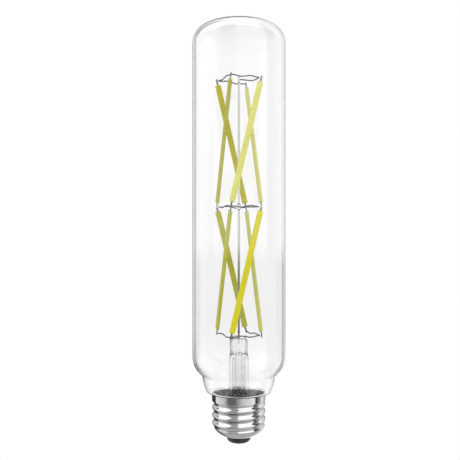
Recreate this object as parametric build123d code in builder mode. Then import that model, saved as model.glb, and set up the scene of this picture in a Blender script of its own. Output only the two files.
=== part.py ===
"""Tubular LED filament bulb on a screw cap: one solid per piece.

Millimetres. Z runs up the axis from the centre contact's face at z = 0, and -Y is the front.
"""

import os
from math import cos, radians, sin, sqrt

from build123d import *

os.makedirs("parts", exist_ok=True)

# Screw shell
cap_height = 24.2
collar_r = 13.05
collar_height = 3.9
shell_wall = 0.3
thread_crest_r = 12.95
thread_root_r = 11.95
thread_pitch = 3.629
thread_turns = 3.6
thread_start_z = 7.6
ridge_half_width = 1.45
ridge_crest_half_width = 0.5
ridge_sunk = 0.4
foot_r = 6.3
foot_z = 3.2
foot_wall = 0.6
foot_lip = 0.45
foot_round = 10.5
foot_top_z = 8.9
foot_bore_z = 7.3

# Insulator and centre contact
contact_r = 3.4
contact_thick = 0.25
contact_edge = 0.1
rivet_r = 1.1
rivet_top_z = 6.6
plug_round = 2.2
plug_top_z = 5.9
fit = 0.05

# Glass envelope
tube_r = 22.4
glass_wall = 1.4
glass_top_z = 203.5
crown_r = 42.6
knuckle_r = 8.8
shoulder_z = 36.7
shoulder_round = 11.0
waist_r = 17.9
waist_z = 32.5
waist_round = 3.0
neck_bulge_r = 23.0
neck_foot_r = 15.6
neck_foot_round = 1.0
neck_mouth_r = 12.4
neck_r = 11.3
neck_end_z = 16.0
rim_gap = 0.3
cement_drop = 0.4

# Glass stem and exhaust tube
stem_r = 4.7
stem_wall = 1.05
stem_tube_top_z = 40.5
press_foot_z = 43.5
press_top_z = 50.0
press_width = 8.4
press_thick = 5.6
press_edge = 0.6
cavity_top_z = 41.0
exhaust_r = 2.4
exhaust_bore_r = 1.5
exhaust_seat_z = 43.0
exhaust_tip_z = 20.5
exhaust_tip_height = 3.0
chamber_top_z = 44.9
chamber_point = 0.5
exhaust_port_r = 0.5
exhaust_port_z = 43.8

# Filament cage: corners at three levels, turned about the axis
corner_r = 11.4
corner_turn = -19.5
corner_count = 4
cage_low_z = 51.9
tier_height = 61.5
strip_width = 2.9
strip_thick = 1.1
strip_round = 0.45
strip_end_gap = 2.1
carrier_width = 0.9
carrier_thick = 0.25
carrier_past = 0.9
carrier_short = 0.2

# Wires, rod and bead
wire_r = 0.3
weld_gap = 0.02
crimp = 0.45
rod_r = 0.6
rod_foot_z = 47.3
rod_past = 1.7
bead_r = 1.3
bead_height = 3.2
bead_end_r = 0.9
lead_in_x = 3.0
lead_in_top_z = 51.2

# Driver in the cap
board_thick = 1.0
board_z = 8.3
capacitor_r = 3.15
capacitor_height = 5.0
capacitor_edge = 0.4
capacitor_y = 6.0
rectifier_size = (4.8, 4.0, 2.4)
rectifier_at = (-5.6, -4.4)
chip_size = (5.0, 4.0, 1.5)
chip_at = (5.6, -4.4)
resistor_r = 1.25
resistor_length = 7.0
resistor_y = -8.0
tail_wire_r = 0.35
tail_wire_rise = 2.4
tail_wire_x = -9.6

# Levels and radii that follow from the sizes above
collar_z = cap_height - collar_height
bore_r = thread_root_r - shell_wall
opening_r = foot_r - foot_lip
neck_seat_z = cap_height + rim_gap
neck_slope = (neck_mouth_r - neck_r) / (neck_seat_z - collar_z)
cement_step_z = collar_z + shell_wall + fit
cement_top_z = cap_height - cement_drop
cement_mouth_r = neck_r + fit + neck_slope * (cement_top_z + fit - collar_z)
flare_r = neck_r - glass_wall - fit
flange_r = neck_r - fit
flange_z = neck_end_z - stem_wall
stem_bore_r = stem_r - stem_wall
flare_round = flare_r - stem_r
flare_top_z = neck_end_z + flare_round
board_r = bore_r - fit
cage_mid_z = cage_low_z + tier_height
cage_top_z = cage_mid_z + tier_height
chord_r = corner_r * cos(radians(180 / corner_count))
wire_reach = chord_r - carrier_thick / 2 - wire_r - weld_gap
wire_corner_r = wire_reach / cos(radians(180 / corner_count))
board_top_z = board_z + board_thick

UPRIGHT = (Align.CENTER, Align.CENTER, Align.MIN)


def save(piece, name):
    """Label a finished piece and write it to its own file."""
    piece.part.label = name
    export_step(piece.part, f"parts/{name}.step")


def around(radius, step, z):
    """The point at a corner of the cage: step counts corners from the right-hand one."""
    angle = radians(corner_turn + step * 360 / corner_count)
    return Vector(radius * cos(angle), radius * sin(angle), z)


# Screw shell: a core with a helical ridge, trimmed at the foot, collared and bored out
with BuildPart() as screw_shell:
    with Locations((0, 0, foot_z)):
        Cylinder(thread_root_r, cap_height - foot_z, align=UPRIGHT)
    with BuildLine() as thread_path:
        Helix(thread_pitch, thread_turns * thread_pitch, thread_root_r, center=(0, 0, thread_start_z))
    with BuildSketch(Plane(thread_path.line @ 0, x_dir=(1, 0, 0), z_dir=thread_path.line % 0)):
        with BuildLine():
            Polyline(
                (-ridge_sunk, -ridge_half_width),
                (thread_crest_r - thread_root_r, -ridge_crest_half_width),
                (thread_crest_r - thread_root_r, ridge_crest_half_width),
                (-ridge_sunk, ridge_half_width),
                close=True,
            )
        make_face()
    sweep(path=thread_path.line, is_frenet=True)
    with BuildSketch(Plane.XZ):
        with BuildLine():
            foot = RadiusArc((foot_r, foot_z), (collar_r, foot_top_z), -foot_round)
            Polyline(foot @ 1, (collar_r, cap_height), (0, cap_height), (0, foot_z), foot @ 0)
        make_face()
    revolve(axis=Axis.Z, mode=Mode.INTERSECT)
    with Locations((0, 0, collar_z)):
        Cylinder(collar_r, collar_height, align=UPRIGHT)
    with BuildSketch(Plane.XZ):
        with BuildLine():
            foot = RadiusArc((foot_r, foot_z + foot_wall), (bore_r, foot_bore_z), -foot_round)
            Polyline(
                foot @ 1,
                (bore_r, collar_z + shell_wall),
                (collar_r - shell_wall, collar_z + shell_wall),
                (collar_r - shell_wall, cap_height),
                (0, cap_height),
                (0, foot_z),
                (opening_r, foot_z),
                (opening_r, foot_z + foot_wall),
                foot @ 0,
            )
        make_face()
    revolve(axis=Axis.Z, mode=Mode.SUBTRACT)
save(screw_shell, "screw_shell")

# Insulator: a round-bottomed plug whose shoulder sits on the shell's lip, with a hole for the rivet
with BuildPart() as insulator:
    with BuildSketch(Plane.XZ) as plug_outline:
        with BuildLine():
            Polyline(
                (rivet_r + fit, contact_thick),
                (opening_r - fit, contact_thick),
                (opening_r - fit, foot_z + foot_wall),
                (foot_r - fit, foot_z + foot_wall),
                (foot_r - fit, plug_top_z),
                (rivet_r + fit, plug_top_z),
                close=True,
            )
        make_face()
        fillet(plug_outline.vertices().sort_by_distance(Vector(opening_r, contact_thick))[0], plug_round)
    revolve(axis=Axis.Z)
save(insulator, "insulator")

# Centre contact: a disc with its rivet up through the insulator
with BuildPart() as centre_contact:
    Cylinder(contact_r, contact_thick, align=UPRIGHT)
    chamfer(centre_contact.edges().sort_by(Axis.Z)[0], contact_edge)
    Cylinder(rivet_r, rivet_top_z, align=UPRIGHT)
save(centre_contact, "centre_contact")

# Glass envelope: an outline with a bulged neck and rounded corners, revolved and hollowed from the neck
with BuildPart() as glass_envelope:
    with BuildSketch(Plane.XZ) as glass_outline:
        crown_edge_z = glass_top_z - crown_r + sqrt(crown_r**2 - tube_r**2)
        rounded_corners = {
            (neck_foot_r, neck_seat_z): neck_foot_round,
            (waist_r, waist_z): waist_round,
            (tube_r, shoulder_z): shoulder_round,
            (tube_r, crown_edge_z): knuckle_r,
        }
        with BuildLine():
            neck = RadiusArc((neck_foot_r, neck_seat_z), (waist_r, waist_z), -neck_bulge_r)
            side = Polyline(neck @ 1, (tube_r, shoulder_z), (tube_r, crown_edge_z))
            crown = RadiusArc(side @ 1, (0, glass_top_z), -crown_r)
            Polyline(
                crown @ 1,
                (0, neck_end_z),
                (neck_r, neck_end_z),
                (neck_r, collar_z),
                (neck_mouth_r, neck_seat_z),
                neck @ 0,
            )
        make_face()
        for corner, corner_round in rounded_corners.items():
            fillet(glass_outline.vertices().sort_by_distance(Vector(*corner))[0], corner_round)
    revolve(axis=Axis.Z)
    mouth = glass_envelope.faces().sort_by(Axis.Z)[0]
    offset(amount=-glass_wall, openings=mouth, kind=Kind.INTERSECTION)
save(glass_envelope, "glass_envelope")

# Cement ring that fills the gap between the neck and the shell, up into the collar
with BuildPart() as cement_ring:
    with BuildSketch(Plane.XZ):
        with BuildLine():
            Polyline(
                (neck_r + fit, neck_end_z),
                (bore_r - fit, neck_end_z),
                (bore_r - fit, cement_step_z),
                (collar_r - shell_wall - fit, cement_step_z),
                (collar_r - shell_wall - fit, cement_top_z),
                (cement_mouth_r, cement_top_z),
                (neck_r + fit, collar_z - fit),
                close=True,
            )
        make_face()
    revolve(axis=Axis.Z)
save(cement_ring, "cement_ring")

# Glass stem: a flared tube whose top is pressed flat, hollow up to the exhaust tube's seat
with BuildPart() as glass_stem:
    with BuildSketch(Plane.XZ):
        with BuildLine():
            flare = RadiusArc((stem_r, flare_top_z), (flare_r, neck_end_z), -flare_round)
            Polyline(
                flare @ 1,
                (flange_r, neck_end_z),
                (flange_r, flange_z),
                (0, flange_z),
                (0, press_foot_z),
                (press_thick / 2 - press_edge, press_foot_z),
                (stem_r, stem_tube_top_z),
                flare @ 0,
            )
        make_face()
    revolve(axis=Axis.Z)
    with BuildSketch(Plane.XY.offset(stem_tube_top_z)):
        SlotOverall(press_width, press_thick)
    extrude(amount=press_top_z - stem_tube_top_z)
    chamfer(glass_stem.faces().sort_by(Axis.Z)[-1].edges(), press_edge)
    with BuildSketch(Plane.XZ):
        with BuildLine():
            flare = RadiusArc((stem_bore_r, flare_top_z), (flare_r, flange_z), -flare_round - stem_wall)
            Polyline(
                flare @ 1,
                (0, flange_z),
                (0, chamber_top_z),
                (exhaust_bore_r, chamber_top_z - chamber_point),
                (exhaust_bore_r, exhaust_seat_z),
                (exhaust_r, exhaust_seat_z),
                (exhaust_r, cavity_top_z),
                (stem_bore_r, cavity_top_z),
                flare @ 0,
            )
        make_face()
    revolve(axis=Axis.Z, mode=Mode.SUBTRACT)
    with BuildSketch(Plane.XY.offset(rod_foot_z)):
        Circle(rod_r)
    extrude(amount=press_top_z - rod_foot_z, mode=Mode.SUBTRACT)
    with BuildSketch(Plane.XY.offset(cavity_top_z)):
        with Locations((-lead_in_x, 0), (lead_in_x, 0)):
            Circle(wire_r)
    extrude(amount=press_top_z - cavity_top_z, mode=Mode.SUBTRACT)
    with BuildSketch(Plane.XZ):
        with Locations((0, exhaust_port_z)):
            Circle(exhaust_port_r)
    extrude(amount=-stem_r, mode=Mode.SUBTRACT)
save(glass_stem, "glass_stem")

# Exhaust tube, drawn to a closed tip in the cap
with BuildPart() as exhaust_tube:
    with BuildSketch(Plane.XZ):
        with BuildLine():
            tip_wall = exhaust_r - exhaust_bore_r
            Polyline(
                (0, exhaust_tip_z),
                (tip_wall, exhaust_tip_z),
                (exhaust_r, exhaust_tip_z + exhaust_tip_height),
                (exhaust_r, exhaust_seat_z),
                (exhaust_bore_r, exhaust_seat_z),
                (exhaust_bore_r, exhaust_tip_z + exhaust_tip_height),
                (0, exhaust_tip_z + tip_wall),
                close=True,
            )
        make_face()
    revolve(axis=Axis.Z)
save(exhaust_tube, "exhaust_tube")

# Support rod, sunk in the press
with BuildPart() as support_rod:
    with Locations((0, 0, rod_foot_z)):
        Cylinder(rod_r, cage_top_z + rod_past - rod_foot_z, align=UPRIGHT)
save(support_rod, "support_rod")

# Glass bead, barrel-shaped, that keeps the middle wire off the rod
with BuildPart() as middle_bead:
    with BuildSketch(Plane((0, 0, cage_mid_z), x_dir=(1, 0, 0), z_dir=(0, -1, 0))):
        with BuildLine():
            barrel = ThreePointArc((bead_end_r, -bead_height / 2), (bead_r, 0), (bead_end_r, bead_height / 2))
            Polyline(barrel @ 1, (rod_r, bead_height / 2), (rod_r, -bead_height / 2), barrel @ 0)
        make_face()
    revolve(axis=Axis.Z)
save(middle_bead, "middle_bead")


def bent_wire(name, radius, points):
    """A round wire bent at each of the points."""
    with BuildPart() as piece:
        with BuildLine() as path:
            Polyline(*points)
        with BuildSketch(Plane(path.line @ 0, z_dir=path.line % 0)):
            Circle(radius)
        sweep(path=path.line, transition=Transition.RIGHT)
    save(piece, name)


def crimped(steps, z):
    """Points of a wire from corner to corner of the cage, with a shallow wave along each side."""
    corners = [around(wire_corner_r, step, z) for step in steps]
    points = [corners[0]]
    for start, end in zip(corners, corners[1:]):
        third = (end - start) / 3
        points += [start + third + Vector(0, 0, crimp), end - third - Vector(0, 0, crimp), end]
    return points


# Wires at the three levels: the upper two also reach in to the rod and to the bead
bent_wire("bottom_wire", wire_r, crimped((2, 3, 4, 5), cage_low_z))
for name, z, hub_r in (("middle_wire", cage_mid_z, bead_r), ("top_wire", cage_top_z, rod_r)):
    spoke = [around(hub_r + weld_gap, 0.5, z), around(wire_reach, 0.5, z)]
    bent_wire(name, wire_r, spoke + crimped((4, 3, 2, 1), z))

# Lead-in wires: the left one ends at the rod, the right one at the bottom wire
bent_wire(
    "lead_in_wire_left",
    wire_r,
    (
        (-lead_in_x, 0, board_top_z),
        (-lead_in_x, 0, lead_in_top_z),
        (-rod_r - weld_gap, 0, lead_in_top_z),
    ),
)
bent_wire(
    "lead_in_wire_right",
    wire_r,
    (
        (lead_in_x, 0, board_top_z),
        (lead_in_x, 0, cage_low_z),
        around(wire_reach - wire_r - fit, -0.5, cage_low_z),
    ),
)


def filament(tier, number, low_z, low_end, high_end):
    """A phosphor strip on its carrier, leaning from one corner of the cage to the next one round."""
    low = around(corner_r, number - 1, low_z)
    high = around(corner_r, number, low_z + tier_height)
    lean = (high - low).normalized()
    outward = around(1, number - 0.5, 0)
    slant = 1 / lean.Z
    with BuildPart() as strip:
        with BuildSketch(Plane(low + lean * strip_end_gap * slant, x_dir=outward, z_dir=lean)):
            RectangleRounded(strip_thick, strip_width, strip_round)
            Rectangle(carrier_thick, carrier_width, mode=Mode.SUBTRACT)
        extrude(amount=(tier_height - 2 * strip_end_gap) * slant)
    save(strip, f"{tier}_filament_{number}")
    with BuildPart() as carrier:
        with BuildSketch(Plane(low - lean * low_end * slant, x_dir=outward, z_dir=lean)):
            Rectangle(carrier_thick, carrier_width)
        extrude(amount=(tier_height + low_end + high_end) * slant)
    save(carrier, f"{tier}_carrier_{number}")


# Two tiers of filaments, whose carriers pass the end wires and stop short of each other in the middle
for number in range(1, corner_count + 1):
    filament("lower", number, cage_low_z, carrier_past, -carrier_short)
    filament("upper", number, cage_mid_z, -carrier_short, carrier_past)

# Driver board, seated in the foot of the shell
with BuildPart() as driver_board:
    with Locations((0, 0, board_z)):
        Cylinder(board_r, board_thick, align=UPRIGHT)
save(driver_board, "driver_board")

# Box-shaped parts on the board
packages = {"bridge_rectifier": (rectifier_at, rectifier_size), "driver_chip": (chip_at, chip_size)}
for name, (at, size) in packages.items():
    with BuildPart() as package:
        with Locations((*at, board_top_z)):
            Box(*size, align=UPRIGHT)
    save(package, name)

# Smoothing capacitor
with BuildPart() as smoothing_capacitor:
    with Locations((0, capacitor_y, board_top_z)):
        Cylinder(capacitor_r, capacitor_height, align=UPRIGHT)
    chamfer(smoothing_capacitor.edges().sort_by(Axis.Z)[-1], capacitor_edge)
save(smoothing_capacitor, "smoothing_capacitor")

# Fuse resistor, lying across the board
with BuildPart() as fuse_resistor:
    with Locations((0, resistor_y, board_top_z + resistor_r)):
        Cylinder(resistor_r, resistor_length, rotation=(0, 90, 0))
save(fuse_resistor, "fuse_resistor")

# Tail wires from the contact and from the shell to the board
bent_wire("live_wire", tail_wire_r, ((0, 0, rivet_top_z), (0, 0, board_z)))
bent_wire(
    "neutral_wire",
    tail_wire_r,
    (
        (tail_wire_x, 0, board_top_z),
        (tail_wire_x, 0, board_top_z + tail_wire_rise),
        (fit - bore_r, 0, board_top_z + tail_wire_rise),
    ),
)
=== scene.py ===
"""Looks of the tubular filament bulb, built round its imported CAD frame.

Metres, in the frame of the CAD: Z runs up the axis from the centre contact, and -Y is the front.
"""

from math import asin, ceil, cos, pi, radians, sin, sqrt, tan

import bpy
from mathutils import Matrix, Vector


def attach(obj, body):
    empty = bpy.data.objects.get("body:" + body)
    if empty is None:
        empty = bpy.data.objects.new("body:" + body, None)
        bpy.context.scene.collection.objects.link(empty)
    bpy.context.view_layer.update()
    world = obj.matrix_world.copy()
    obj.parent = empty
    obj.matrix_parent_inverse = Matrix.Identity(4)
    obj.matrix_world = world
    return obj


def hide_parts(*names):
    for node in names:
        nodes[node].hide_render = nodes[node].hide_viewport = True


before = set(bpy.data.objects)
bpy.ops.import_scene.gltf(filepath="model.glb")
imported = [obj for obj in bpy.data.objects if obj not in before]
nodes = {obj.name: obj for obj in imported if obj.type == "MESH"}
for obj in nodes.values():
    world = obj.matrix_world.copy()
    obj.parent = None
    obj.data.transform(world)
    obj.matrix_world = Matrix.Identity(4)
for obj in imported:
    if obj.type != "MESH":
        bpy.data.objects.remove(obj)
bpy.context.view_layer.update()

# Glass envelope
tube_r = 0.0224
glass_wall = 0.0014
neck_wall = 0.0005
glass_top_z = 0.2035
crown_r = 0.0426
knuckle_r = 0.0088
shoulder_z = 0.0367
shoulder_round = 0.011
waist_r = 0.0179
waist_z = 0.0325
waist_round = 0.003
neck_bulge_r = 0.0171
neck_bulge_z = 0.0284
neck_bulge_round = 0.02
neck_foot_r = 0.0156
neck_foot_round = 0.001
neck_mouth_r = 0.0124
neck_r = 0.0113
neck_bend = 0.002
neck_root_round = 0.0008
neck_seat_z = 0.0245
neck_end_z = 0.016

# Screw shell
cap_height = 0.0242
collar_r = 0.01305
collar_z = 0.0203
collar_blend = 0.0006
shell_wall = 0.0003
thread_crest_r = 0.01295
thread_root_r = 0.01195
thread_pitch = 0.003629
thread_start_z = 0.0076
foot_r = 0.0063
foot_z = 0.0032
foot_wall = 0.0006
foot_round = 0.0105
foot_centre_r = 0.00353
foot_centre_z = 0.01333
foot_blend = 0.0004
foot_sweep = radians(38)
foot_wall_low_z = 0.0065
foot_wall_high_z = 0.0085
thread_low_z = 0.007
opening_r = 0.00585

# Insulator
contact_thick = 0.00025
plug_top_z = 0.0059
plug_round = 0.0022
plug_edge = 0.0003
plug_small_edge = 0.0001
plug_step_edge = 0.00005
rivet_hole_r = 0.00115
plug_fit = 0.00005

# Glass stem and bead
stem_r = 0.0047
stem_wall = 0.00105
flare_r = 0.00985
flange_r = 0.01125
stem_tube_top_z = 0.0405
press_foot_z = 0.0435
press_top_z = 0.05
press_width = 0.0084
press_thick = 0.0056
press_edges = ((0.0016, 0), (0.0006, 0.0002), (0.0002, 0.0006), (0, 0.0012))
cavity_top_z = 0.041
cavity_edge = 0.0006
exhaust_r = 0.0024
exhaust_seat_z = 0.043
chamber_r = 0.0015
chamber_top_z = 0.0449
bead_r = 0.0013
bead_height = 0.0032
rod_r = 0.0006
glass_fit = 0.00002

# Filament cage and its wires
corner_r = 0.0114
corner_turn = -19.5
corner_count = 4
cage_low_z = 0.0519
tier_height = 0.0615
wire_r = 0.0003
wire_reach = 0.0076
wire_spoke = 0.6
crimp = 0.00055
crimp_wave = ((0.14, 0), (0.32, crimp), (0.5, 0), (0.68, -crimp), (0.86, 0), (1, 0))
lead_in_x = 0.003
lead_in_top_z = 0.0512
board_top_z = 0.0093

# Steps round the axis and along the curves
round_steps = 144
turns = [2 * pi * k / round_steps for k in range(round_steps)]
arc_step = radians(3)
thread_steps = 120
foot_steps = 14
row_gap = 0.00005
press_steps = 8
bead_steps = 16
sharp_edge = radians(40)

cage_mid_z = cage_low_z + tier_height
cage_top_z = cage_mid_z + tier_height

# Looks
grain_low = 0.3
grain_high = 0.7
grain_relief = 0.3
glass_index = 1.5
ripple_scale = 60.0
ripple_detail = 1.0
ripple_stretch = (1, 1, 0.25)
ripple_strength = 0.1
glass_tint = (188, 190, 188)


def srgb(*levels):
    """A linear colour with alpha from screen levels of 0 to 255."""
    return tuple(((level / 255 + 0.055) / 1.055) ** 2.4 for level in levels) + (1.0,)


# Materials
def new_material(name):
    """A node material and its principled shader."""
    material = bpy.data.materials.new(name)
    material.use_nodes = True
    return material, material.node_tree.nodes["Principled BSDF"]


def noise(material, scale, detail=3.0, stretch=(1, 1, 1)):
    """A noise value over the object, with its grain drawn out along an axis by stretch."""
    tree = material.node_tree
    place = tree.nodes.new("ShaderNodeTexCoord")
    mapping = tree.nodes.new("ShaderNodeMapping")
    mapping.inputs["Scale"].default_value = stretch
    grain = tree.nodes.new("ShaderNodeTexNoise")
    grain.inputs["Scale"].default_value = scale
    grain.inputs["Detail"].default_value = detail
    tree.links.new(place.outputs["Object"], mapping.inputs["Vector"])
    tree.links.new(mapping.outputs["Vector"], grain.inputs["Vector"])
    return grain.outputs["Fac"]


def vary_colour(material, value, low, high):
    """Base colour that runs from low to high with a value."""
    tree = material.node_tree
    ramp = tree.nodes.new("ShaderNodeValToRGB")
    ramp.color_ramp.elements[0].position = grain_low
    ramp.color_ramp.elements[1].position = grain_high
    ramp.color_ramp.elements[0].color = low
    ramp.color_ramp.elements[1].color = high
    tree.links.new(value, ramp.inputs["Fac"])
    tree.links.new(ramp.outputs["Color"], tree.nodes["Principled BSDF"].inputs["Base Color"])


def vary_roughness(material, value, low, high):
    """Roughness that runs from low to high with a value."""
    tree = material.node_tree
    spread = tree.nodes.new("ShaderNodeMapRange")
    spread.inputs["From Min"].default_value = grain_low
    spread.inputs["From Max"].default_value = grain_high
    spread.inputs["To Min"].default_value = low
    spread.inputs["To Max"].default_value = high
    tree.links.new(value, spread.inputs["Value"])
    tree.links.new(spread.outputs["Result"], tree.nodes["Principled BSDF"].inputs["Roughness"])


def add_bump(material, value, strength, distance):
    """Fine relief that follows a value."""
    tree = material.node_tree
    bump = tree.nodes.new("ShaderNodeBump")
    bump.inputs["Strength"].default_value = strength
    bump.inputs["Distance"].default_value = distance
    tree.links.new(value, bump.inputs["Height"])
    tree.links.new(bump.outputs["Normal"], tree.nodes["Principled BSDF"].inputs["Normal"])


def coated(name, low, high, roughness, grain, relief, metallic=0.0):
    """A surface whose colour, roughness and relief follow one grain."""
    material, shader = new_material(name)
    shader.inputs["Metallic"].default_value = metallic
    value = noise(material, grain)
    vary_colour(material, value, low, high)
    vary_roughness(material, value, *roughness)
    add_bump(material, value, grain_relief, relief)
    return material


def glass(name, absorb, ripple):
    """Clear glass with a faint ripple, which lets lamp light and scattered light through."""
    material, shader = new_material(name)
    tree = material.node_tree
    shader.inputs["Base Color"].default_value = (1, 1, 1, 1)
    shader.inputs["Roughness"].default_value = 0.0
    shader.inputs["IOR"].default_value = glass_index
    shader.inputs["Transmission Weight"].default_value = 1.0
    waves = noise(material, ripple_scale, ripple_detail, ripple_stretch)
    add_bump(material, waves, ripple_strength, ripple)
    clear = tree.nodes.new("ShaderNodeBsdfTransparent")
    path = tree.nodes.new("ShaderNodeLightPath")
    either = tree.nodes.new("ShaderNodeMath")
    either.operation = "MAXIMUM"
    mix = tree.nodes.new("ShaderNodeMixShader")
    tree.links.new(path.outputs["Is Shadow Ray"], either.inputs[0])
    tree.links.new(path.outputs["Is Diffuse Ray"], either.inputs[1])
    tree.links.new(either.outputs["Value"], mix.inputs["Fac"])
    tree.links.new(shader.outputs["BSDF"], mix.inputs[1])
    tree.links.new(clear.outputs["BSDF"], mix.inputs[2])
    tree.links.new(mix.outputs["Shader"], tree.nodes["Material Output"].inputs["Surface"])
    depth = tree.nodes.new("ShaderNodeVolumeAbsorption")
    depth.inputs["Color"].default_value = srgb(*glass_tint)
    depth.inputs["Density"].default_value = absorb
    tree.links.new(depth.outputs["Volume"], tree.nodes["Material Output"].inputs["Volume"])
    return material


clear_glass = glass("clear_glass", 16.0, 0.00002)
stem_glass = glass("stem_glass", 10.0, 0.00003)
nickel = coated("nickel_plate", srgb(205, 205, 203), srgb(222, 222, 220), (0.04, 0.09), 900, 0.00001, 1.0)
black_plug = coated("black_insulator", srgb(30, 30, 31), srgb(46, 46, 46), (0.25, 0.4), 700, 0.00002)
tin = coated("contact_metal", srgb(178, 178, 178), srgb(206, 206, 204), (0.25, 0.45), 900, 0.00002, 1.0)
cement = coated("cement", srgb(58, 57, 55), srgb(84, 82, 79), (0.8, 0.95), 1500, 0.00008)
carrier_metal = coated(
    "carrier_metal", srgb(120, 116, 104), srgb(160, 154, 140), (0.3, 0.5), 900, 0.00001, 1.0
)
dark_wire = coated("wire_metal", srgb(84, 84, 90), srgb(112, 112, 118), (0.25, 0.4), 1200, 0.00001, 1.0)
bright_wire = coated("bright_wire", srgb(224, 224, 222), srgb(240, 240, 238), (0.04, 0.1), 1200, 0.00001, 1.0)
board_green = coated("board", srgb(40, 92, 58), srgb(54, 112, 70), (0.4, 0.55), 900, 0.00002)
black_package = coated("black_package", srgb(28, 28, 28), srgb(42, 42, 42), (0.5, 0.7), 1200, 0.00002)
can_metal = coated("capacitor_can", srgb(180, 180, 184), srgb(205, 205, 208), (0.25, 0.4), 900, 0.00001, 1.0)
resistor_coat = coated("resistor_coat", srgb(180, 150, 110), srgb(204, 176, 136), (0.5, 0.7), 900, 0.00003)
sleeve = coated("wire_sleeve", srgb(222, 220, 212), srgb(238, 236, 230), (0.45, 0.6), 900, 0.00002)

# Painted light and shade: the eight strips are of one phosphor, and each is given its own lighter, darker or
# more saturated colour for how the light falls on it.
strip_lit_and_shaded_levels = {
    "upper_filament_1": (216, 214, 126),
    "upper_filament_2": (190, 184, 10),
    "upper_filament_3": (180, 176, 66),
    "upper_filament_4": (222, 221, 112),
    "lower_filament_1": (204, 206, 112),
    "lower_filament_2": (186, 185, 66),
    "lower_filament_3": (186, 185, 66),
    "lower_filament_4": (220, 212, 4),
}


def phosphor(name, levels):
    """Silicone with phosphor powder in it: a fine grain and a little light through it, over one strip's
    painted lit or shaded colour.
    """
    pale = tuple(min(255, level + 12) for level in levels)
    deep = tuple(max(0, level - 14) for level in levels)
    material = coated(name, srgb(*deep), srgb(*pale), (0.4, 0.6), 1800, 0.00003)
    shader = material.node_tree.nodes["Principled BSDF"]
    shader.inputs["Specular IOR Level"].default_value = 0.2
    shader.inputs["Subsurface Weight"].default_value = 0.15
    shader.inputs["Subsurface Radius"].default_value = (0.0008, 0.0007, 0.0002)
    return material


node_materials = {
    "centre_contact": tin,
    "cement_ring": cement,
    "exhaust_tube": stem_glass,
    "support_rod": bright_wire,
    "driver_board": board_green,
    "bridge_rectifier": black_package,
    "driver_chip": black_package,
    "smoothing_capacitor": can_metal,
    "fuse_resistor": resistor_coat,
    "live_wire": sleeve,
    "neutral_wire": sleeve,
}
# Each strip gets its own phosphor material in its painted lit or shaded colour.
for node, levels in strip_lit_and_shaded_levels.items():
    node_materials[node] = phosphor(node.replace("filament", "phosphor"), levels)
    node_materials[node.replace("filament", "carrier")] = carrier_metal
for node, material in node_materials.items():
    nodes[node].data.materials.clear()
    nodes[node].data.materials.append(material)


# Building pieces
def dress(piece, node, material):
    """Put a finished piece in the scene in place of its CAD node."""
    bpy.context.scene.collection.objects.link(piece)
    piece.data.materials.append(material)
    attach(piece, "root")
    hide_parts(node)


def skin(name, rings, join_ends=False):
    """A smooth mesh between rings of points, where a ring of one point is a pole."""
    offsets = [sum(len(ring) for ring in rings[:i]) for i in range(len(rings))]
    order = list(range(len(rings)))
    pairs = list(zip(order, order[1:]))
    if join_ends:
        pairs.append((order[-1], 0))
    faces = []
    for low, high in pairs:
        count = max(len(rings[low]), len(rings[high]))
        for k in range(count):
            corners = [
                offsets[i] + j % len(rings[i])
                for i, j in ((low, k), (low, (k + 1) % count), (high, (k + 1) % count), (high, k))
            ]
            faces.append(list(dict.fromkeys(corners)))
    mesh = bpy.data.meshes.new(name)
    mesh.from_pydata([point for ring in rings for point in ring], [], faces)
    mesh.shade_smooth()
    mesh.set_sharp_from_angle(angle=sharp_edge)
    return bpy.data.objects.new(name, mesh)


def ring(radius, z):
    """Points round the axis, or one point on it."""
    if radius == 0:
        return [(0, 0, z)]
    return [(radius * cos(turn), radius * sin(turn), z) for turn in turns]


def lathe(name, outline, join_ends=False):
    """A piece turned about the axis: the outline goes up the outside and down the inside."""
    return skin(name, [ring(radius, z) for radius, z in outline], join_ends)


def arc(centre_r, centre_z, radius, start, end):
    """Points of an arc in the (r, z) plane between two angles."""
    count = max(2, ceil(abs(end - start) / arc_step))
    turns = [start + (end - start) * k / count for k in range(count + 1)]
    return [(centre_r + radius * cos(turn), centre_z + radius * sin(turn)) for turn in turns]


def rounded(corners):
    """A path through (r, z, round) corners, each replaced by an arc of its round."""
    path = [corners[0][:2]]
    for before, corner, after in zip(corners, corners[1:], corners[2:]):
        here = Vector(corner[:2])
        back = (Vector(before[:2]) - here).normalized()
        on = (Vector(after[:2]) - here).normalized()
        half = back.angle(on) / 2
        centre = here + (back + on).normalized() * corner[2] / sin(half)
        spoke = here + back * corner[2] / tan(half) - centre
        turn = (pi - 2 * half) * (1 if back.cross(on) < 0 else -1)
        start = Vector((1, 0)).angle_signed(spoke) * -1
        path += arc(*centre, corner[2], start, start + turn)
    return path + [corners[-1][:2]]


def smooth_step(value, low, high):
    """Rises from 0 to 1 between low and high."""
    share = min(1, max(0, (value - low) / (high - low)))
    return share * share * (3 - 2 * share)


def inside_of(path):
    """The inside of the glass: the outside moved in by the wall, which thins towards the neck."""
    moved = []
    for k, point in enumerate(path):
        along = Vector(path[min(k + 1, len(path) - 1)]) - Vector(path[max(k - 1, 0)])
        along.normalize()
        wall = neck_wall + (glass_wall - neck_wall) * smooth_step(point[1], neck_seat_z, shoulder_z)
        moved.append((point[0] - along.y * wall, point[1] + along.x * wall))
    return moved


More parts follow.
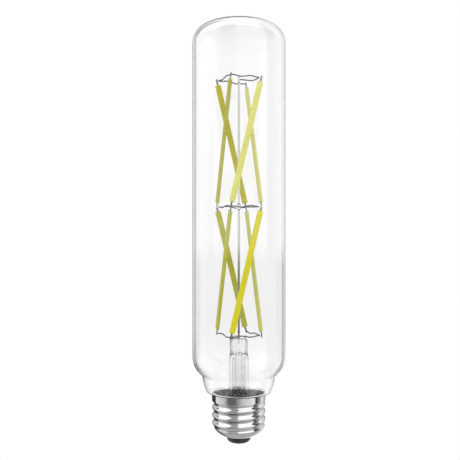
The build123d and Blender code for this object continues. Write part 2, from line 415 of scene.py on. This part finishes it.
# Glass envelope: neck, waist, shoulder, tube, knuckle and crown
crown_z = glass_top_z - crown_r
knuckle_at_r = tube_r - knuckle_r
knuckle_at_z = crown_z + sqrt((crown_r - knuckle_r) ** 2 - knuckle_at_r**2)
crown_start = Vector((1, 0)).angle(Vector((knuckle_at_r, knuckle_at_z - crown_z)))
outside = rounded(
    [
        (neck_r, neck_end_z, 0),
        (neck_r, collar_z, neck_bend),
        (neck_mouth_r, neck_seat_z, neck_root_round),
        (neck_foot_r, neck_seat_z, neck_foot_round),
        (neck_bulge_r, neck_bulge_z, neck_bulge_round),
        (waist_r, waist_z, waist_round),
        (tube_r, shoulder_z, shoulder_round),
        (tube_r, knuckle_at_z, 0),
    ]
)
outside += arc(knuckle_at_r, knuckle_at_z, knuckle_r, 0, crown_start)[1:]
outside += arc(0, crown_z, crown_r, crown_start, pi / 2)[1:-1]
outside.append((0, glass_top_z))
inside = inside_of(outside)
inside[0] = (neck_r - neck_wall, neck_end_z)
inside[-1] = (0, glass_top_z - glass_wall)
envelope = lathe("glass_bulb", inside[::-1] + outside)
dress(envelope, "glass_envelope", clear_glass)


# Screw shell: pressed sheet with a rolled thread
def soft_min(a, b, blend):
    """The smaller of two values, with the corner rounded over a blend."""
    return (a + b - sqrt((a - b) ** 2 + blend**2)) / 2


def foot_radius(z):
    """Outside radius of the rounded foot, which lies outside the collar above its centre."""
    if z >= foot_centre_z:
        return collar_r + foot_blend
    drop = min(1, (foot_centre_z - z) / foot_round)
    return foot_centre_r + foot_round * sqrt(1 - drop**2)


def shell_radius(turn, z):
    """Outside radius of the shell at an angle and a height."""
    crest = cos(2 * pi * (z - thread_start_z) / thread_pitch - turn)
    thread = thread_root_r + (thread_crest_r - thread_root_r) * (1 + crest) / 2
    wall = thread + (collar_r - thread) * smooth_step(z, collar_z - collar_blend, collar_z + collar_blend)
    return min(collar_r, soft_min(wall, foot_radius(z), foot_blend))


thread_rows = [cap_height + (thread_low_z - cap_height) * k / thread_steps for k in range(thread_steps + 1)]
foot_start = asin((foot_r - foot_centre_r) / foot_round)
foot_angles = [foot_start + foot_sweep * k / foot_steps for k in range(foot_steps, -1, -1)]
foot_rows = [foot_centre_z - foot_round * cos(angle) for angle in foot_angles]
rows = [z for z in thread_rows if z > foot_rows[0] + row_gap] + foot_rows
outer_rings = [[(shell_radius(t, z) * cos(t), shell_radius(t, z) * sin(t), z) for t in turns] for z in rows]
inner_rings = []
for z in rows:
    lift = foot_wall * (1 - smooth_step(z, foot_wall_low_z, foot_wall_high_z))
    radii = [shell_radius(t, z) - shell_wall for t in turns]
    inner_rings.append([(r * cos(t), r * sin(t), min(z + lift, cap_height)) for r, t in zip(radii, turns)])
lip = [ring(opening_r, foot_z + foot_wall), ring(opening_r, foot_z)]
shell = skin("threaded_shell", inner_rings + lip + outer_rings[::-1], join_ends=True)
dress(shell, "screw_shell", nickel)

# Insulator: a moulded plug with soft edges
plug = lathe(
    "moulded_insulator",
    rounded(
        [
            (rivet_hole_r, plug_top_z, 0),
            (rivet_hole_r, contact_thick, plug_small_edge),
            (opening_r - plug_fit, contact_thick, plug_round),
            (opening_r - plug_fit, foot_z + foot_wall, plug_step_edge),
            (foot_r - plug_fit, foot_z + foot_wall, plug_small_edge),
            (foot_r - plug_fit, plug_top_z, plug_edge),
            (rivet_hole_r + plug_small_edge, plug_top_z, 0),
        ]
    ),
    join_ends=True,
)
dress(plug, "insulator", black_plug)


# Glass stem: a flared tube pressed flat at the top, hollow up to the sealed exhaust tube
def oval(half_x, half_y, z):
    """A ring that is wider than it is deep."""
    return [(half_x * cos(t), half_y * sin(t), z) for t in turns]


stem_rings = [[(0, 0, press_top_z)]]
stem_rings += [
    oval(press_width / 2 - edge, press_thick / 2 - edge, press_top_z - drop)
    for edge, drop in press_edges
]
for k in range(press_steps + 1):
    share = smooth_step(k / press_steps, 0, 1)
    half_x = press_width / 2 + (stem_r - press_width / 2) * share
    half_y = press_thick / 2 + (stem_r - press_thick / 2) * share
    stem_rings.append(oval(half_x, half_y, press_foot_z + (stem_tube_top_z - press_foot_z) * k / press_steps))
flare_round = flare_r - stem_r
flare_top_z = neck_end_z + flare_round
bore_r = stem_r - stem_wall
stem_rings += [ring(r, z) for r, z in arc(flare_r, flare_top_z, flare_round, pi, 1.5 * pi)]
stem_rings += [ring(flange_r, neck_end_z), ring(flange_r, neck_end_z - stem_wall)]
stem_rings += [ring(r, z) for r, z in arc(flare_r, flare_top_z, flare_round + stem_wall, 1.5 * pi, pi)]
stem_rings += [ring(bore_r, cavity_top_z - cavity_edge), ring(bore_r - cavity_edge, cavity_top_z)]
stem_rings += [ring(exhaust_r + glass_fit, z) for z in (cavity_top_z, exhaust_seat_z)]
stem_rings += [ring(r, z) for r, z in arc(0, chamber_top_z - chamber_r, chamber_r, 0, pi / 2)[:-1]]
stem_rings.append([(0, 0, chamber_top_z)])
stem = skin("pressed_stem", stem_rings[::-1])
dress(stem, "glass_stem", stem_glass)

# Bead on the rod
bead_swell = bead_r - rod_r
bead_shares = [k / bead_steps for k in range(bead_steps + 1)]
bead_path = [
    (rod_r + glass_fit + bead_swell * sin(pi * share), cage_mid_z + bead_height * (share - 0.5))
    for share in bead_shares
]
dress(lathe("glass_bead", bead_path, join_ends=True), "middle_bead", stem_glass)


# Wires
def around(radius, step, z):
    """The point at a corner of the cage: step counts corners from the right-hand one."""
    angle = radians(corner_turn + step * 360 / corner_count)
    return Vector((radius * cos(angle), radius * sin(angle), z))


def wire(name, node, points, metal):
    """A round wire that bends smoothly along its points."""
    curve = bpy.data.curves.new(name, "CURVE")
    curve.dimensions = "3D"
    curve.bevel_depth = wire_r
    curve.bevel_resolution = 3
    curve.use_fill_caps = True
    spline = curve.splines.new("NURBS")
    spline.points.add(len(points) - 1)
    for knot, point in zip(spline.points, points):
        knot.co = (*point, 1)
    spline.order_u = 3
    spline.use_endpoint_u = True
    spline.resolution_u = 10
    dress(bpy.data.objects.new(name, curve), node, metal)


def crimped(steps, z):
    """Points of a wire from corner to corner of the cage, with a wave along each side."""
    corner = wire_reach / cos(pi / corner_count)
    points = [around(corner, steps[0], z)]
    for first, second in zip(steps, steps[1:]):
        start = around(corner, first, z)
        end = around(corner, second, z)
        for share, lift in crimp_wave:
            points.append(start.lerp(end, share) + Vector((0, 0, lift)))
    return points


wire("bottom_ring_wire", "bottom_wire", crimped((2, 3, 4, 5), cage_low_z), dark_wire)
for name, z, hub_r in (("middle", cage_mid_z, bead_r), ("top", cage_top_z, rod_r)):
    spoke = [around(reach, 0.5, z) for reach in (hub_r, wire_reach * wire_spoke, wire_reach)]
    wire(f"{name}_ring_wire", f"{name}_wire", spoke + crimped((4, 3, 2, 1), z), dark_wire)
wire(
    "left_lead_in",
    "lead_in_wire_left",
    [
        (-lead_in_x, 0, board_top_z),
        (-lead_in_x, 0, press_top_z),
        (-lead_in_x, 0, lead_in_top_z),
        (-rod_r, 0, lead_in_top_z),
    ],
    bright_wire,
)
wire(
    "right_lead_in",
    "lead_in_wire_right",
    [
        (lead_in_x, 0, board_top_z),
        (lead_in_x, 0, press_top_z),
        (lead_in_x, 0, cage_low_z),
        around(wire_reach - wire_r, -0.5, cage_low_z),
    ],
    bright_wire,
)

# Floor, well under the cap and white to the eye
floor_z = -0.12
floor_half = 3.0
floor_mesh = bpy.data.meshes.new("floor")
floor_corners = [(x * floor_half, y * floor_half, floor_z) for x, y in ((-1, -1), (1, -1), (1, 1), (-1, 1))]
floor_mesh.from_pydata(floor_corners, [], [(0, 1, 2, 3)])
floor = bpy.data.objects.new("floor", floor_mesh)
bpy.context.scene.collection.objects.link(floor)
floor.visible_glossy = False
floor.visible_transmission = False


def shown_white(tree, lit, output):
    """Show plain white to the camera, and a lit shader to everything else."""
    path = tree.nodes.new("ShaderNodeLightPath")
    white = tree.nodes.new("ShaderNodeEmission" if output == "Material Output" else "ShaderNodeBackground")
    mix = tree.nodes.new("ShaderNodeMixShader")
    tree.links.new(path.outputs["Is Camera Ray"], mix.inputs["Fac"])
    tree.links.new(lit, mix.inputs[1])
    tree.links.new(white.outputs[0], mix.inputs[2])
    white.inputs["Color"].default_value = (1, 1, 1, 1)
    tree.links.new(mix.outputs["Shader"], tree.nodes[output].inputs["Surface"])


pale_floor, floor_shader = new_material("pale_floor")
vary_colour(pale_floor, noise(pale_floor, 3.0), srgb(232, 232, 232), srgb(240, 240, 240))
floor_shader.inputs["Roughness"].default_value = 0.9
shown_white(pale_floor.node_tree, floor_shader.outputs["BSDF"], "Material Output")
floor_mesh.materials.append(pale_floor)

# World: white to the eye, even to scattered light, and pale panels with dark gaps to metal and glass
world = bpy.data.worlds.new("studio")
world.use_nodes = True
bpy.context.scene.world = world
sky = world.node_tree
studio = sky.nodes["Background"]
panel_gain = 1.8
plain_level = 0.72


def calc(operation, *values):
    """A math node on sockets and numbers."""
    node = sky.nodes.new("ShaderNodeMath")
    node.operation = operation
    for socket, value in zip(node.inputs, values):
        if isinstance(value, (int, float)):
            socket.default_value = value
        else:
            sky.links.new(value, socket)
    return node.outputs["Value"]


def mixed(share, first, second):
    """A value that runs from the first to the second with a share."""
    return calc("MULTIPLY_ADD", share, calc("SUBTRACT", second, first), first)


def rise(value, low, high):
    """A share that rises from 0 at low to 1 at high."""
    node = sky.nodes.new("ShaderNodeMapRange")
    node.inputs["From Min"].default_value = low
    node.inputs["From Max"].default_value = high
    sky.links.new(value, node.inputs["Value"])
    return node.outputs["Result"]


def panels(turn, stops):
    """Brightness round the object, from (degrees from the front by the left, level) stops."""
    ramp = sky.nodes.new("ShaderNodeValToRGB")
    ends = ramp.color_ramp.elements
    ends[0].color = ends[1].color = (stops[0][1] / panel_gain,) * 3 + (1,)
    for degrees, level in stops[1:]:
        ends.new(degrees / 360).color = (level / panel_gain,) * 3 + (1,)
    sky.links.new(turn, ramp.inputs["Fac"])
    return calc("MULTIPLY", ramp.outputs["Color"], panel_gain)


direction = sky.nodes.new("ShaderNodeTexCoord")
axes = sky.nodes.new("ShaderNodeSeparateXYZ")
sky.links.new(direction.outputs["Generated"], axes.inputs["Vector"])
height = axes.outputs["Z"]
turn = calc("MULTIPLY_ADD", calc("ARCTAN2", axes.outputs["X"], axes.outputs["Y"]), 0.5 / pi, 0.5)
dark_back = [(112, 1.1), (120, 0.05), (170, 0.05), (175, 1), (192, 1), (200, 0.6), (224, 0.6), (236, 1)]
pale_back = [(126, 0.7), (154, 0.7), (158, 0.05), (172, 0.05), (176, 1)]
pale_back += [(184, 1), (188, 0.05), (202, 0.05), (206, 0.7), (236, 1)]
seam = [(252, 1), (258, 0.35), (272, 0.25), (276, 0.05), (282, 0.05), (286, 0.4), (292, 1.2)]
near_table = 0.55
table_front = [(0, 0.5), (16, 0.18), (46, 0.18), (66, 0.75)]
table = panels(turn, [*table_front, *dark_back, *seam, (346, 0.75), (359, 0.52)])
gap_front = [(0, 0.3), (16, 0.06), (46, 0.06), (66, 0.2), (114, 0.2)]
gap = panels(turn, [*gap_front, *pale_back, (252, 0.2), (346, 0.2)])
band = panels(turn, [(0, 0.95), (114, 1), *pale_back, *seam, (320, 0.95)])
tent = panels(turn, [(0, 1.0), (14, 0.5), (50, 0.5), (70, 1.5), (114, 1.2), *pale_back, *seam, (320, 1.1)])
top_front = [(0, 1.7), (4, 1.7), (12, 0.4), (48, 0.4), (64, 1.7), (110, 1.6)]
top = panels(turn, [*top_front, *dark_back[1:], (250, 1.4), *seam[1:], (300, 1.7)])
zenith = 1.7
horizon = (-0.06, -0.02)

# Each layer takes over from the one below as the direction rises
level = near_table
for low, high, layer in (
    (-0.8, -0.65, table),
    (-0.22, -0.16, gap),
    (*horizon, band),
    (0.1, 0.18, tent),
    (0.35, 0.45, top),
    (0.85, 0.95, zenith),
):
    level = mixed(rise(height, low, high), level, layer)

# What shows through the glass: a white backdrop with grey edges, and the dark floor that the dome throws back
path = sky.nodes.new("ShaderNodeLightPath")
edge = [(0, 1), (128, 1), (140, 0.45), (149, 0.45), (153, 0.95), (165, 1), (212, 1), (218, 0.8), (232, 1)]
low_edge = [(0, 0.9), (128, 0.9), (140, 0.4), (149, 0.4), (153, 0.8), (166, 0.9), (172, 1)]
low_edge += [(188, 1), (194, 0.9), (207, 0.8), (211, 0.4), (222, 0.4), (234, 0.9)]
seen = mixed(rise(height, *horizon), panels(turn, low_edge), panels(turn, edge))
through = path.outputs["Is Transmission Ray"]
bounces = path.outputs["Glossy Depth"]
straight = calc("LESS_THAN", bounces, 0.5)
behind = rise(axes.outputs["Y"], 0, 0.4)
level = mixed(calc("MULTIPLY", through, calc("MAXIMUM", straight, behind)), level, seen)
dome_floor = 0.02
dome_reach = 0.4
dome_down = -0.27
thrown_down = calc("MULTIPLY", calc("COMPARE", bounces, 1, 0.5), calc("LESS_THAN", height, dome_down))
thrown_down = calc("MULTIPLY", thrown_down, calc("COMPARE", axes.outputs["X"], 0, dome_reach))
level = mixed(calc("MULTIPLY", through, thrown_down), level, dome_floor)
stem_level = 0.95
stem_depth = 5.5
in_stem = calc("GREATER_THAN", path.outputs["Transmission Depth"], stem_depth)
level = mixed(in_stem, level, calc("MAXIMUM", level, stem_level))
sky.links.new(mixed(path.outputs["Is Diffuse Ray"], level, plain_level), studio.inputs["Strength"])
studio.inputs["Color"].default_value = (1, 1, 1, 1)
shown_white(sky, studio.outputs["Background"], "World Output")


def softbox(name, place, aim, width, height, power):
    """A rectangular lamp that faces a point."""
    lamp = bpy.data.lights.new(name, "AREA")
    lamp.shape = "RECTANGLE"
    lamp.size = width
    lamp.size_y = height
    lamp.energy = power
    box = bpy.data.objects.new(name, lamp)
    bpy.context.scene.collection.objects.link(box)
    box.location = place
    box.rotation_euler = (Vector(aim) - Vector(place)).to_track_quat("-Z", "Y").to_euler()
    box.visible_camera = False
    box.visible_transmission = False
    box.visible_glossy = False


middle = (0, 0, 0.1)
softbox("left_softbox", (-0.75, -0.65, 0.45), middle, 0.8, 0.9, 2.5)
softbox("right_softbox", (0.7, -0.75, 0.4), middle, 0.6, 0.9, 2.0)
softbox("back_softbox", (0.1, 0.9, 0.7), middle, 1.2, 0.8, 2.5)

# Camera: level, at the height where the photograph has its horizon
eye_x = -0.00425
eye_y = -0.3087
eye_z = 0.1022
camera_data = bpy.data.cameras.new("camera")
camera_data.lens = 50
camera_data.sensor_width = 36
camera_data.clip_start = 0.01
camera = bpy.data.objects.new("camera", camera_data)
bpy.context.scene.collection.objects.link(camera)
camera.location = (eye_x, eye_y, eye_z)
camera.rotation_euler = (pi / 2, 0, 0)
bpy.context.scene.camera = camera
bpy.context.scene.view_settings.view_transform = "Standard"
